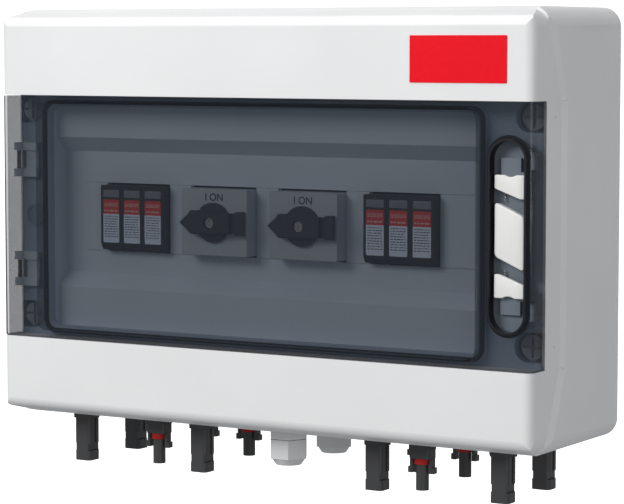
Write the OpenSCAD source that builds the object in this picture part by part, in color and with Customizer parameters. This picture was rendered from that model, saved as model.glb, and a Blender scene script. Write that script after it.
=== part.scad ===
// DC combiner box: wall enclosure with smoked door, surge arresters, rotary
// isolators, string connectors and cable glands.
// Millimetres, +Z up, front faces -Y, origin at the centre of the rear wall face.

/* [Enclosure] */
// outer width of the base
box_w = 416; // [400:1:520]
// outer height of the base
box_h = 284; // [260:1:360]
// depth from the wall face to the front of the cover
box_d = 126; // [116:1:170]
// wall thickness of the base
wall_t = 4; // [3:0.5:5]
// corner radius of the base seen from the front
corner_r = 13; // [8:1:20]
// how far the cover stays inside the outline of the base
lip_step = 1.5; // [1:0.1:2.5]
// wall thickness of the cover
cover_t = 3; // [2.5:0.5:4]
// rounding of the upright front edges of the cover
edge_r = 6; // [4:0.5:9]

/* [Door zone] */
// height of the door opening between the two bands
door_zone_h = 168.8; // [150:0.2:190]
// middle of the door opening above the box centre
door_zone_z = -1.7; // [-10:0.1:10]
// depth of the door zone behind the cover front
door_recess = 19; // [18:0.5:24]
// thickness of the door panel
door_t = 3; // [2:0.5:4]
// distance of the viewing recess from the left side of the cover
window_left = 29.3; // [26:0.1:40]
// distance of the viewing recess from the right side of the cover
window_right = 46.5; // [44:0.1:60]

/* [Device row] */
// pitch of one module
module_w = 17.6; // [17.5:0.1:18]
// modules in the row
row_modules = 18; // [18:1:18]
// distance of the row from the left end of the viewing recess
row_inset = 17.9; // [12:0.1:30]
// height of the row middle
row_z = -2.5; // [-10:0.1:10]
// front height of a device
device_h = 45; // [44:0.5:46]
// depth of the mask behind the cover front
mask_depth = 37; // [30:0.5:45]

/* [Switches] */
// handle length from tip to tail
handle_len = 49; // [40:1:56]
// handle height above its plate
handle_h = 7.5; // [6:0.5:12]

/* [Connectors] */
// distance of the front connector row behind the seam with the cover
front_row_inset = 18; // [16:1:26]
// distance of the rear connector row from the wall face
rear_row_inset = 28; // [22:1:40]
// length of a connector below the box
plug_drop = 34; // [28:1:40]
// gland hexagon across flats
gland_af = 24; // [22:1:27]

/* [Hidden] */
$fn = 64;
clear = 0.3;
zone_top = door_zone_z + door_zone_h / 2;
zone_bot = door_zone_z - door_zone_h / 2;
cover_w = box_w - 2 * lip_step;
cover_h = box_h - 2 * lip_step - 0.2;
front_y = -box_d;
plane_y = front_y + door_recess;
mask_y = front_y + mask_depth;
mask_t = 2.5;
// seam between base and cover
seam_mid_y = front_y + 40;
seam_end_y = front_y + 20;
seam_bend_z = box_h / 2 - 8;
seam_slope = atan((seam_mid_y - seam_end_y) / (seam_bend_z - zone_top));
lip_bevel = 6;
panel_depth = 0.5;
// front edges of the two bands
band_draft = 5.4;
band_r = 7;
// viewing recess and its rim
rim_h = 3;
rim_w = 5.6;
rim_front_y = plane_y - rim_h;
window_x0 = -cover_w / 2 + window_left;
window_x1 = cover_w / 2 - window_right;
window_z0 = zone_bot + 7.3;
window_z1 = zone_top - 7.9;
bevel_z1 = row_z + 45.5;
bevel_z0 = row_z - 39.5;
bevel_run = mask_depth - door_recess - 8;
label_h = 0.516 * (cover_h / 2 - zone_top);
label_z = (zone_top + cover_h / 2) / 2 - 2.9;
// cover screws
screw_x = cover_w / 2 - 10.5;
screw_z = 72.3;
screw_head_r = 8;
screw_pit_r = 9.6;
screw_floor_y = plane_y + 8.5;
screw_rod_r = 3;
screw_pillar_r = 7;
catch_t = 2.6;
catch_rear_y = seam_mid_y + 26;
catch_front_y = seam_mid_y + 1;
// hinges
hinge_r = 3.5;
hinge_x = -cover_w / 2 + hinge_r;
hinge_y = plane_y - hinge_r - 0.2;
hinge_zs = [37, -40];
hinge_len = 24;
hinge_ear = 5.6;
hinge_pin_r = 1.4;
hinge_bevel = [4.8, 2.8];
hinge_cap_x = window_x0 - rim_w - 8.4;
// sealing rib of the door
rib_x0 = window_x0 - 3.8;
rib_x1 = window_x1 + 5;
rib_z0 = window_z0 - 4.2;
rib_z1 = window_z1 + 4;
rib_t = 2;
seal_gap = 2;
// latch
slot_x = cover_w / 2 - 17.9;
slot_w = 24;
slot_h = 120;
slot_z = door_zone_z;
collar_t = 1.4;
collar_d = 6.5;
latch_rail_y = front_y + collar_d;
tab_front_y = front_y + 3;
lip_y = front_y + 10;
tab_plate_y = lip_y - 3.4;
hook_x0 = slot_x + 10.2;
hook_x1 = slot_x + 14;
spring_x = slot_x - 5;
spring_foot = 21.1;
spring_h = 9.8;
spring_turns = 5;
// rail and devices
rail_y = mask_y + 49;
rail_h = 35;
rail_depth = 7.5;
row_x0 = window_x0 + row_inset;
device_w = 3 * module_w - 0.4;
spd_half_h = 45;
spd_body_y = rail_y - 24;
spd_wire_y = (spd_body_y + rail_y) / 2;
spd_front = 9;
spd_slots = [1, 13];
switch_half_h = 39;
switch_body_y = rail_y - 32;
switch_wire_y = (switch_body_y + rail_y) / 2;
switch_front = 12.5;
switch_face_y = mask_y - switch_front;
switch_slots = [5, 9];
plate_rear_y = mask_y + 9;
shaft_r = 4;
disc_r = 13.5;
blank_slots = [[0, 1], [4, 1], [8, 1], [12, 1], [16, 2]];
plug_w = module_w - 0.5;
plug_rear_y = mask_y + 13;
// floor of the box and what hangs from it
floor_z = -box_h / 2;
inner_floor_z = floor_z + wall_t;
front_row_y = seam_end_y + front_row_inset;
rear_row_y = -rear_row_inset;
plug_end_z = floor_z - plug_drop;
socket_w = 13.5;
socket_d = 13;
socket_bore_r = 4.7;
socket_bore_l = 22;
thread_r = 6;
flange_r = 8.8;
flange_t = 3.5;
barrel_r = 4.3;
ring_top_z = floor_z - 10;
ring_bot_z = ring_top_z - 4;
gland_thread_r = 10;
gland_bore_r = 7.5;
gland_end_z = floor_z - 14;
seal_end_z = floor_z - 21;
sockets = [[-162, front_row_y], [-162, rear_row_y], [-64, front_row_y],
           [75, front_row_y], [168, front_row_y], [168, rear_row_y]];
pins = [[-100, front_row_y], [-100, rear_row_y], [-64, rear_row_y],
        [75, rear_row_y], [109, front_row_y], [109, rear_row_y]];
glands = [[6, front_row_y], [6, rear_row_y]];
// rear wall
hole_x = box_w / 2 - 23;
hole_z = box_h / 2 - 24;
hole_r = 2.75;
pillar_xs = [-150, 148];
// earth bar and wires
bar_z = 98;
bar_screw_xs = [-45, 45];
bar_wire_y = -31.5;
wire_r = 2.4;
bend_r = 6;

// ---------------------------------------------------------------- helpers

// flat shape drawn in X and Z, pushed forward from y0 to y1
module forward(y0, y1) {
  translate([0, y0, 0])
    rotate([90, 0, 0])
      linear_extrude(y0 - y1)
        children();
}

// flat shape drawn in Y and Z, stretched along X from x0 to x1
module along_x(x0, x1) {
  translate([x0, 0, 0])
    rotate([90, 0, 90])
      linear_extrude(x1 - x0)
        children();
}

// box between two corners
module block(x0, x1, y0, y1, z0, z1) {
  translate([x0, y0, z0])
    cube([x1 - x0, y1 - y0, z1 - z0]);
}

// rounded rectangle between two corners
module soft_rect(x0, x1, z0, z1, r) {
  translate([x0 + r, z0])
    square([x1 - x0 - 2 * r, z1 - z0]);
  translate([x0, z0 + r])
    square([x1 - x0, z1 - z0 - 2 * r]);
  for (x = [x0 + r, x1 - r], z = [z0 + r, z1 - r])
    translate([x, z])
      circle(r);
}

module centred_rect(w, h, r) {
  soft_rect(-w / 2, w / 2, -h / 2, h / 2, r);
}

// upright stadium
module stadium(x, z, w, h) {
  soft_rect(x - w / 2, x + w / 2, z - h / 2, z + h / 2, w / 2 - 0.01);
}

// round bar along Y
module bar_y(x, z, y0, y1, r) {
  translate([x, y0, z])
    rotate([90, 0, 0])
      cylinder(r = r, h = y0 - y1);
}

// round bar along Z
module bar_z(x, y, z0, z1, r) {
  translate([x, y, z0])
    cylinder(r = r, h = z1 - z0);
}

// hexagonal bar along Z, given across flats
module hex_z(x, y, z0, z1, af) {
  translate([x, y, z0])
    cylinder(r = af / sqrt(3), h = z1 - z0, $fn = 6);
}

// everything in front of the seam between base and cover, moved by dy
module seam_front(dy) {
  along_x(-box_w, box_w)
    polygon([[seam_mid_y + dy, zone_bot], [seam_mid_y + dy, zone_top],
             [seam_end_y + dy, seam_bend_z], [seam_end_y + dy, box_h],
             [-3 * box_d, box_h], [-3 * box_d, -box_h],
             [seam_end_y + dy, -box_h], [seam_end_y + dy, -seam_bend_z]]);
}

function slot_left(n) = row_x0 + n * module_w;

// ---------------------------------------------------------------- enclosure

module seam_ring() {
  difference() {
    centred_rect(cover_w - 0.8, cover_h - 0.8, corner_r - lip_step);
    centred_rect(cover_w - 3.8, cover_h - 3.8, corner_r - lip_step - 1.5);
  }
}

module seam_band(dy) {
  difference() {
    forward(-60, seam_end_y - 1)
      seam_ring();
    seam_front(0);
    difference() {
      block(-box_w, box_w, -3 * box_d, 0, -box_h, box_h);
      seam_front(dy);
    }
  }
}

// cuts that bevel the lip of the base towards the cover
module lip_bevels() {
  run = lip_bevel + 4;
  rise = lip_step * run / lip_bevel;
  for (s = [-1, 1]) {
    mirror([s > 0 ? 0 : 1, 0, 0]) {
      lip_side_bevel(seam_mid_y, zone_bot, zone_top, 0, run, rise);
      lip_side_bevel(seam_mid_y, 0, box_h, seam_slope, run, rise, zone_top);
      mirror([0, 0, 1])
        lip_side_bevel(seam_mid_y, 0, box_h, seam_slope, run, rise, -zone_bot);
    }
    mirror([0, 0, s > 0 ? 0 : 1])
      along_x(-box_w, box_w)
        polygon([[seam_end_y + lip_bevel, box_h / 2], [seam_end_y + lip_bevel, box_h],
                 [seam_end_y + lip_bevel - run, box_h],
                 [seam_end_y + lip_bevel - run, box_h / 2 - rise]]);
  }
}

// bevel of the right side, upright from z0 to z1 or leaning forward above the height foot
module lip_side_bevel(y, z0, z1, lean, run, rise, foot = 0) {
  translate([0, y, foot])
    rotate([lean, 0, 0])
      translate([0, lip_bevel, z0])
        linear_extrude(z1 - z0)
          polygon([[box_w / 2, 0], [box_w, 0], [box_w, -run], [box_w / 2 - rise, -run]]);
}

// shallow panel on each side, which leaves the lip and the edges proud
module side_panels() {
  for (s = [-1, 1])
    along_x(min(s * (box_w / 2 - panel_depth), s * box_w), max(s * (box_w / 2 - panel_depth), s * box_w))
      polygon([[seam_mid_y + 18.6, zone_bot + 12], [seam_mid_y + 18.6, zone_top - 2],
               [seam_mid_y + 14, box_h / 2 - 13], [-2, box_h / 2 - 11],
               [-2, -box_h / 2 + 9], [seam_mid_y + 14, -box_h / 2 + 11]]);
}

module base_tub() {
  color([0.80, 0.81, 0.80])
    difference() {
      union() {
        difference() {
          forward(0, seam_end_y)
            centred_rect(box_w, box_h, corner_r);
          forward(-wall_t, -box_d)
            centred_rect(box_w - 2 * wall_t, box_h - 2 * wall_t, corner_r - wall_t);
        }
        for (x = pillar_xs)
          block(x - 8, x + 8, rail_y + rail_depth, -wall_t + 0.5, row_z - 14, row_z + 14);
        for (x = bar_screw_xs)
          block(x - 6, x + 6, -22, -wall_t + 0.5, bar_z - 6, bar_z + 6);
      }
      seam_front(0);
      seam_band(2);
      lip_bevels();
      side_panels();
      for (x = pillar_xs)
        bar_y(x, row_z, rail_y + rail_depth + 16.5, -box_d, 2.5);
      for (x = bar_screw_xs)
        bar_y(x, bar_z, -8, -box_d, 2);
      for (sx = [-1, 1], sz = [-1, 1])
        bar_y(sx * hole_x, sz * hole_z, 1, -wall_t - 1, hole_r);
      for (p = concat(sockets, pins))
        bar_z(p[0], p[1], floor_z - 1, inner_floor_z + 1, thread_r + 0.15);
      for (p = glands)
        bar_z(p[0], p[1], floor_z - 1, inner_floor_z + 1, gland_thread_r + 0.15);
    }
}

// four pillars on the rear wall behind the cover screws
module screw_pillars() {
  color([0.78, 0.79, 0.78])
    for (sx = [-1, 1], sz = [-1, 1])
      bar_y(sx * screw_x, sz * screw_z, -wall_t, catch_rear_y, screw_pillar_r);
}

// pair of ribs on each pillar that the tip of a quarter-turn screw turns between
module screw_catches() {
  reach = screw_pillar_r;
  color([0.78, 0.79, 0.78])
    for (sx = [-1, 1], sz = [-1, 1], side = [-1, 1])
      translate([sx * screw_x, 0, sz * screw_z + side * (reach - catch_t / 2)])
        block(-reach + 2, reach - 2, catch_front_y, catch_rear_y, -catch_t / 2, catch_t / 2);
}

module seam_gasket() {
  color([0.12, 0.12, 0.12])
    seam_band(2);
}

// centre of the round that softens the corner b between the edges to a and c
function round_centre(a, b, c, r) =
  let (u = (a - b) / norm(a - b), v = (c - b) / norm(c - b), m = u + v,
       half = acos(u * v) / 2)
  b + m / norm(m) * r / sin(half);

// where that round leaves the edge from b towards a
function round_start(a, b, c, r) =
  let (u = (a - b) / norm(a - b), v = (c - b) / norm(c - b))
  b + u * r / tan(acos(u * v) / 2);

// flat shape of a block whose two front corners are rounded, given by its two rear, two front corners
module soft_front(rear_a, front_a, front_b, rear_b, r) {
  polygon([rear_a, round_start(rear_a, front_a, front_b, r), round_start(front_b, front_a, rear_a, r),
           round_start(front_a, front_b, rear_b, r), round_start(rear_b, front_b, front_a, r), rear_b]);
  translate(round_centre(rear_a, front_a, front_b, r))
    circle(r);
  translate(round_centre(front_a, front_b, rear_b, r))
    circle(r);
}

// block with drafted bands and rounded front edges that the cover is cut from
module cover_block() {
  w = cover_w / 2;
  h = cover_h / 2;
  intersection() {
    forward(seam_mid_y, front_y - 1)
      centred_rect(cover_w, cover_h, corner_r - lip_step);
    along_x(-box_w, box_w) {
      soft_front([seam_end_y, h], [front_y, h - band_draft], [front_y, -h + band_draft],
                 [seam_end_y, -h], band_r);
      translate([seam_end_y - 0.01, -h])
        square([seam_mid_y - seam_end_y + 1, 2 * h]);
    }
    translate([0, 0, -box_h])
      linear_extrude(2 * box_h)
        soft_front([w, 0], [w, front_y], [-w, front_y], [-w, 0], edge_r);
  }
}

module screw_pit_shape(s, grow) {
  translate([s * (screw_x - 1.4), 0])
    circle(screw_pit_r + grow);
  x0 = min(s * (screw_x - 1.4), s * (cover_w / 2 - 1));
  x1 = max(s * (screw_x - 1.4), s * (cover_w / 2 - 1));
  translate([x0, -screw_pit_r - grow])
    square([x1 - x0, 2 * (screw_pit_r + grow)]);
}

module cover() {
  inner_w = cover_w - 2 * cover_t;
  inner_h = cover_h - 2 * cover_t;
  color([0.86, 0.87, 0.87])
    difference() {
      union() {
        difference() {
          cover_block();
          // door zone
          block(-box_w, box_w, front_y - 1, plane_y, zone_bot, zone_top);
          // bevel that lets the open door swing past the hinge side
          translate([-cover_w / 2, plane_y, zone_bot])
            linear_extrude(door_zone_h)
              polygon([[-1, -1], [hinge_bevel[0], -1], [hinge_bevel[0], 0], [0, hinge_bevel[1]],
                       [-1, hinge_bevel[1]]]);
          // space behind the door zone
          forward(0, plane_y + cover_t)
            centred_rect(inner_w, inner_h, corner_r - lip_step - cover_t);
          // space inside the two bands
          band_h = inner_h / 2 - band_draft;
          forward(0, front_y + cover_t) {
            soft_rect(-inner_w / 2, inner_w / 2, zone_top + cover_t, band_h, 6);
            soft_rect(-inner_w / 2, inner_w / 2, -band_h, zone_bot - cover_t, 6);
          }
        }
        // raised rim round the viewing recess
        forward(plane_y + 1, plane_y - rim_h)
          soft_rect(window_x0 - rim_w, window_x1 + rim_w,
                    window_z0 - rim_w, window_z1 + rim_w, 9);
        // walls of the four screw pits
        intersection() {
          for (s = [-1, 1], sz = [-1, 1])
            translate([0, 0, sz * screw_z])
              forward(screw_floor_y + cover_t, plane_y + cover_t - 0.5)
                screw_pit_shape(s, 2);
          forward(0, front_y)
            centred_rect(inner_w + 1, inner_h, corner_r);
        }
      }
      forward(0, front_y)
        soft_rect(window_x0, window_x1, window_z0, window_z1, 6);
      for (s = [-1, 1], sz = [-1, 1])
        translate([0, 0, sz * screw_z]) {
          forward(screw_floor_y, plane_y - 1)
            intersection() {
              screw_pit_shape(s, 0);
              centred_rect(cover_w - 4.2, 40, 1);
            }
          bar_y(s * screw_x, 0, 0, front_y, screw_rod_r + 0.2);
        }
      // blind hole for the cap on the hinge side
      bar_y(hinge_cap_x, slot_z, 0, plane_y - 1, 6);
      // pin marks on the sides
      for (s = [-1, 1], z = [-screw_z, screw_z])
        translate([s * cover_w / 2, seam_mid_y - 8, z])
          rotate([0, 90, 0])
            cylinder(r = 0.8, h = 2, center = true);
      seam_back();
    }
}

// everything behind the seam between base and cover
module seam_back() {
  difference() {
    block(-box_w, box_w, -2 * box_d, 1, -box_h, box_h);
    seam_front(0);
  }
}

module red_label() {
  color([0.82, 0.05, 0.07])
    forward(front_y, front_y - 0.4)
      soft_rect(cover_w / 2 - 87, cover_w / 2 - 18.3, label_z - label_h / 2, label_z + label_h / 2, 0.6);
}

module mask_space(x0, x1, y_front, grow, z_grow) {
  along_x(x0, x1)
    polygon([[y_front, window_z1 + z_grow], [mask_y - bevel_run + grow, window_z1 + z_grow],
             [mask_y - bevel_run + grow, bevel_z1 + bevel_run + grow / 2],
             [mask_y + grow, bevel_z1 + grow / 2], [mask_y + grow, bevel_z0 - grow / 2],
             [mask_y - bevel_run + grow, bevel_z0 - bevel_run - grow / 2],
             [mask_y - bevel_run + grow, window_z0 - z_grow], [y_front, window_z0 - z_grow]]);
}

// bent sheet in front of the devices
module mask_plate() {
  x0 = window_x0 - 0.5;
  x1 = window_x1 + 0.5;
  color([0.60, 0.63, 0.66])
    difference() {
      mask_space(x0, x1, mask_y - bevel_run, mask_t, 2);
      mask_space(x0 - 1, x1 + 1, front_y, 0, 0.5);
      block(row_x0 - 0.4, slot_left(row_modules) + 0.4, mask_y - 20, mask_y + 20,
            row_z - device_h / 2 - 1.4, row_z + device_h / 2 + 1.4);
    }
}

// walls round the mask and the flange that lies behind the door zone
module mask_frame() {
  x0 = window_x0 - 0.5;
  x1 = window_x1 + 0.5;
  y1 = plane_y + cover_t;
  color([0.60, 0.63, 0.66]) {
    block(x0, x1, y1 + 2, mask_y - bevel_run, window_z1 + 0.5, window_z1 + 2);
    block(x0, x1, y1 + 2, mask_y - bevel_run, window_z0 - 2, window_z0 - 0.5);
    mask_space(x0 - mask_t, x0, y1 + 2, mask_t, 2);
    mask_space(x1, x1 + mask_t, y1 + 2, mask_t, 2);
    forward(y1 + 2, y1)
      difference() {
        translate([x0 - 4.5, window_z0 - 3.5])
          square([x1 - x0 + 9, window_z1 - window_z0 + 7.5]);
        translate([x0, window_z0 - 0.5])
          square([x1 - x0, window_z1 - window_z0 + 1]);
      }
  }
}

module blanking_strips() {
  color([0.58, 0.61, 0.64])
    for (b = blank_slots) {
      x0 = slot_left(b[0]) - (b[0] == 0 ? 0.2 : -0.1);
      x1 = slot_left(b[0] + b[1]) - 0.1;
      block(x0, x1, mask_y - 0.6, mask_y + mask_t,
            row_z - device_h / 2 - 1.2, row_z + device_h / 2 + 1.2);
      block(x0, x1, mask_y + mask_t, mask_y + mask_t + 1.5,
            row_z - device_h / 2 - 3.4, row_z + device_h / 2 + 3.4);
    }
}

module cover_screw(x, z) {
  color([0.55, 0.58, 0.62])
    translate([x, 0, z])
      difference() {
        union() {
          bar_y(0, 0, screw_floor_y, screw_floor_y - 4.5, screw_head_r);
          bar_y(0, 0, seam_mid_y + 14, screw_floor_y - 0.1, screw_rod_r);
        }
        for (a = [0, 90])
          rotate([0, a, 0])
            block(-6.8, 6.8, screw_floor_y - 5, screw_floor_y - 3, -0.8, 0.8);
      }
}

module cover_screw_1() {
  cover_screw(screw_x, screw_z);
}

module cover_screw_2() {
  cover_screw(screw_x, -screw_z);
}

module cover_screw_3() {
  cover_screw(-screw_x, screw_z);
}

module cover_screw_4() {
  cover_screw(-screw_x, -screw_z);
}

module hinge_side_cap() {
  color([0.60, 0.63, 0.66]) {
    difference() {
      bar_y(hinge_cap_x, slot_z, plane_y, plane_y - 1.6, 7.6);
      bar_y(hinge_cap_x, slot_z, plane_y - 1, plane_y - 2, 5.6);
    }
    bar_y(hinge_cap_x, slot_z, plane_y + cover_t, plane_y, 5.9);
  }
}

// ---------------------------------------------------------------- hinges

module hinge_ears() {
  color([0.70, 0.73, 0.76])
    for (z = hinge_zs)
      difference() {
        union() {
          block(hinge_x + 5.5, hinge_x + 16, plane_y - 2.4, plane_y,
                z - hinge_len / 2, z + hinge_len / 2);
          for (s = [-1, 1])
            translate([0, 0, z + s * (hinge_len - hinge_ear) / 2]) {
              bar_z(hinge_x, hinge_y, -hinge_ear / 2, hinge_ear / 2, hinge_r);
              block(hinge_x, hinge_x + 16, hinge_y, plane_y, -hinge_ear / 2, hinge_ear / 2);
            }
        }
        bar_z(hinge_x, hinge_y, z - hinge_len, z + hinge_len, hinge_pin_r);
      }
}

module hinge_pins() {
  color([0.75, 0.75, 0.76])
    for (z = hinge_zs)
      bar_z(hinge_x, hinge_y, z - hinge_len / 2 + 0.5, z + hinge_len / 2 - 0.5, hinge_pin_r);
}

// ---------------------------------------------------------------- door

// plan view of the door shell
module door_plan() {
  w = cover_w / 2;
  r = 5;
  difference() {
    union() {
      translate([-w + r, front_y])
        square([2 * w - 2 * r, door_recess]);
      translate([-w, front_y + r])
        square([2 * w, door_recess - r]);
      for (s = [-1, 1])
        translate([s * (w - r), front_y + r])
          circle(r);
    }
    translate([-w + door_t, front_y + door_t])
      square([2 * w - 2 * door_t, box_d]);
    translate([-w - 1, hinge_y])
      square([20, box_d]);
    translate([0, plane_y - 0.4])
      square([box_w, box_d]);
  }
  translate([hinge_x, hinge_y])
    circle(hinge_r);
}

module door() {
  z0 = zone_bot + 0.6;
  z1 = zone_top - 0.6;
  color([0.25, 0.28, 0.33, 0.45])
    difference() {
      union() {
        translate([0, 0, z0])
          linear_extrude(z1 - z0)
            door_plan();
        forward(rim_front_y - seal_gap, front_y + 1)
          difference() {
            soft_rect(rib_x0, rib_x1, rib_z0, rib_z1, 9);
            soft_rect(rib_x0 + rib_t, rib_x1 - rib_t, rib_z0 + rib_t, rib_z1 - rib_t, 7);
          }
      }
      // finger slot
      forward(front_y + 20, front_y - 1)
        stadium(slot_x, slot_z, slot_w + 2 * collar_t, slot_h + 2 * collar_t);
      // gaps for the fixed ears of the hinges
      for (z = hinge_zs, s = [-1, 1])
        translate([0, 0, z + s * (hinge_len - hinge_ear) / 2])
          block(hinge_x - 20, hinge_x + 8, hinge_y - 4.5, plane_y,
                -hinge_ear / 2 - clear, hinge_ear / 2 + clear);
      for (z = hinge_zs)
        bar_z(hinge_x, hinge_y, z - hinge_len / 2, z + hinge_len / 2, hinge_pin_r + 0.06);
    }
}

module door_seal() {
  color([0.08, 0.08, 0.09])
    forward(rim_front_y - 0.1, rim_front_y - seal_gap)
      difference() {
        soft_rect(rib_x0 - 0.4, rib_x1 + 0.4, rib_z0 - 0.4, rib_z1 + 0.4, 9.4);
        soft_rect(rib_x0 + rib_t + 0.4, rib_x1 - rib_t - 0.4,
                  rib_z0 + rib_t + 0.4, rib_z1 - rib_t - 0.4, 6.6);
      }
}

// ---------------------------------------------------------------- latch

module latch_collar() {
  color([0.05, 0.05, 0.06])
    difference() {
      union() {
        forward(latch_rail_y, front_y - 0.4)
          stadium(slot_x, slot_z, slot_w + 2 * collar_t, slot_h + 2 * collar_t);
        forward(front_y + door_t + 1.5, front_y + door_t)
          stadium(slot_x - 0.5, slot_z, slot_w + 2 * collar_t + 3, slot_h + 2 * collar_t + 4);
      }
      forward(0, 2 * front_y)
        stadium(slot_x, slot_z, slot_w, slot_h);
    }
}

// well behind the collar that carries the grip, the slides and the springs
module latch_carrier() {
  floor_y = tab_plate_y + 2.6;
  color([0.45, 0.48, 0.52])
    difference() {
      forward(floor_y + 2.5, latch_rail_y)
        stadium(slot_x, slot_z, slot_w + 2 * collar_t, slot_h + 2 * collar_t);
      forward(floor_y, 2 * front_y)
        stadium(slot_x, slot_z, slot_w, slot_h);
      // open right side that the arms of the slides reach through
      block(slot_x + 4, slot_x + slot_w, 2 * front_y, floor_y, slot_z - 53, slot_z + 53);
      for (s = [-1, 1])
        block(hook_x0 - 0.9, hook_x1 + 2, 2 * front_y, 0,
              slot_z + s * 39.25 - 15.25, slot_z + s * 39.25 + 15.25);
    }
}

module latch_grip() {
  x0 = slot_x - slot_w / 2 + 1.6;
  x1 = slot_x + slot_w / 2 - 1.6;
  color([0.93, 0.93, 0.92])
    forward(tab_plate_y + 2.6, tab_front_y)
      polygon([[x0, slot_z - 12.5], [x0 + 2, slot_z - 14.8], [x1 - 3, slot_z - 21.6],
               [x1, slot_z - 20.6], [x1, slot_z + 12.5], [x1 - 2, slot_z + 14.8],
               [x0 + 3, slot_z + 21.6], [x0, slot_z + 20.6]]);
}

// white button of the upper tab; the lower one is the same shape turned by half a turn
module latch_button() {
  half_w = slot_w / 2 - 1.6;
  forward(tab_plate_y, tab_front_y)
    difference() {
      polygon([[-half_w, 30], [half_w - 3, 23.6], [half_w, 24.2], [half_w, 38.6], [-half_w, 38.6]]);
      translate([0.5, 45.4])
        circle(8);
    }
}

module latch_tab_upper() {
  color([0.93, 0.93, 0.92])
    translate([slot_x, 0, slot_z])
      latch_button();
}

module latch_tab_lower() {
  color([0.93, 0.93, 0.92])
    translate([slot_x, 0, slot_z])
      rotate([0, 180, 0])
        latch_button();
}

// plate behind a button with the arm and the hook that reach the keeper
module latch_slide() {
  x0 = slot_x - slot_w / 2 + 4.6;
  x1 = slot_x + slot_w / 2 - 5.6;
  block(x0, x1, tab_plate_y, tab_plate_y + 2.2, 31, 49.2);
  block(x1 - 1, hook_x1, tab_plate_y, tab_plate_y + 2.2, 34, 40.4);
  block(hook_x0, hook_x1, tab_plate_y + 2.1, lip_y + 6.2, 34, 40.4);
  block(hook_x0, hook_x1, lip_y + 3.2, lip_y + 6.2, 34, 41.4);
}

module latch_slide_upper() {
  color([0.45, 0.48, 0.52])
    translate([0, 0, slot_z])
      latch_slide();
}

module latch_slide_lower() {
  color([0.45, 0.48, 0.52])
    translate([0, 0, slot_z])
      mirror([0, 0, 1])
        latch_slide();
}

// fixed catch that the hook of the tab sits behind
module keeper() {
  block(hook_x0 - 0.4, hook_x1 + 0.4, lip_y, lip_y + 2.6, 41.8, 53);
  block(hook_x0 - 0.4, hook_x1 + 0.4, lip_y + 2.5, plane_y, 49.5, 53);
}

module latch_keepers() {
  color([0.70, 0.73, 0.76])
    translate([0, 0, slot_z]) {
      keeper();
      mirror([0, 0, 1])
        keeper();
    }
}

// wire coil standing on the XY plane
module coil(r, wire, h, turns) {
  steps = turns * 18;
  sides = 6;
  function at(i) = [r * cos(i * 20), r * sin(i * 20), wire + (h - 2 * wire) * i / steps];
  points = [for (i = [0 : steps], j = [0 : sides - 1])
    at(i) + [wire * cos(i * 20) * cos(j * 60), wire * sin(i * 20) * cos(j * 60),
             wire * sin(j * 60)]];
  sides_list = [for (i = [0 : steps - 1], j = [0 : sides - 1])
    [i * sides + j, i * sides + (j + 1) % sides,
     (i + 1) * sides + (j + 1) % sides, (i + 1) * sides + j]];
  polyhedron(points, concat(sides_list,
    [[for (j = [sides - 1 : -1 : 0]) j]],
    [[for (j = [0 : sides - 1]) steps * sides + j]]));
}

module latch_spring() {
  color([0.70, 0.71, 0.73])
    translate([spring_x, tab_plate_y + 1.1, spring_foot])
      coil(0.8, 0.25, spring_h, spring_turns);
}

module latch_spring_upper() {
  translate([0, 0, slot_z])
    latch_spring();
}

module latch_spring_lower() {
  translate([0, 0, slot_z])
    mirror([0, 0, 1])
      latch_spring();
}

// ---------------------------------------------------------------- rail and devices

module din_rail() {
  t = 1;
  h = rail_h / 2;
  color([0.78, 0.79, 0.80])
    difference() {
      along_x(row_x0 - 4, slot_left(row_modules) + 4)
        translate([0, row_z])
          polygon([[rail_y, -h], [rail_y, -h + 5 + t], [rail_y + rail_depth - t, -h + 5 + t],
                   [rail_y + rail_depth - t, h - 5 - t], [rail_y, h - 5 - t], [rail_y, h],
                   [rail_y + t, h], [rail_y + t, h - 5], [rail_y + rail_depth, h - 5],
                   [rail_y + rail_depth, -h + 5], [rail_y + t, -h + 5], [rail_y + t, -h]]);
      for (x = pillar_xs)
        bar_y(x, row_z, 0, -box_d, 2.7);
    }
}

module rail_screws() {
  color([0.75, 0.75, 0.76])
    for (x = pillar_xs) {
      difference() {
        bar_y(x, row_z, rail_y + rail_depth - 1, rail_y + rail_depth - 4, 4.4);
        block(x - 3.5, x + 3.5, rail_y, rail_y + rail_depth - 3, row_z - 0.6, row_z + 0.6);
      }
      bar_y(x, row_z, rail_y + rail_depth + 15.5, rail_y + rail_depth - 1, 2.45);
    }
}

// side view of a rail-mounted body: front_y0 is where the narrow nose ends
module rail_body(x0, x1, half_h, body_y, nose_y) {
  h = rail_h / 2;
  along_x(x0, x1)
    translate([0, row_z])
      polygon([[nose_y, -device_h / 2], [nose_y, device_h / 2], [body_y, device_h / 2],
               [body_y, half_h], [rail_y + 3.5, half_h], [rail_y + 3.5, h - 2],
               [rail_y + 1.1, h - 2], [rail_y + 1.1, h + 0.2], [rail_y, h + 0.2],
               [rail_y, -h - 0.2], [rail_y + 1.1, -h - 0.2], [rail_y + 1.1, -h + 2],
               [rail_y + 3.5, -h + 2], [rail_y + 3.5, -half_h], [body_y, -half_h],
               [body_y, -device_h / 2]]);
}

module terminal_holes(x_mid, half_h, body_y) {
  for (i = [-1, 0, 1], s = [-1, 1]) {
    bar_y(x_mid + i * module_w, row_z + s * (half_h - 7), body_y + 8, body_y - 1, 3);
    bar_z(x_mid + i * module_w, (body_y + rail_y) / 2,
          s > 0 ? row_z + half_h - 10 : row_z - half_h - 1,
          s > 0 ? row_z + half_h + 1 : row_z - half_h + 10, 2.8);
  }
}

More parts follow.
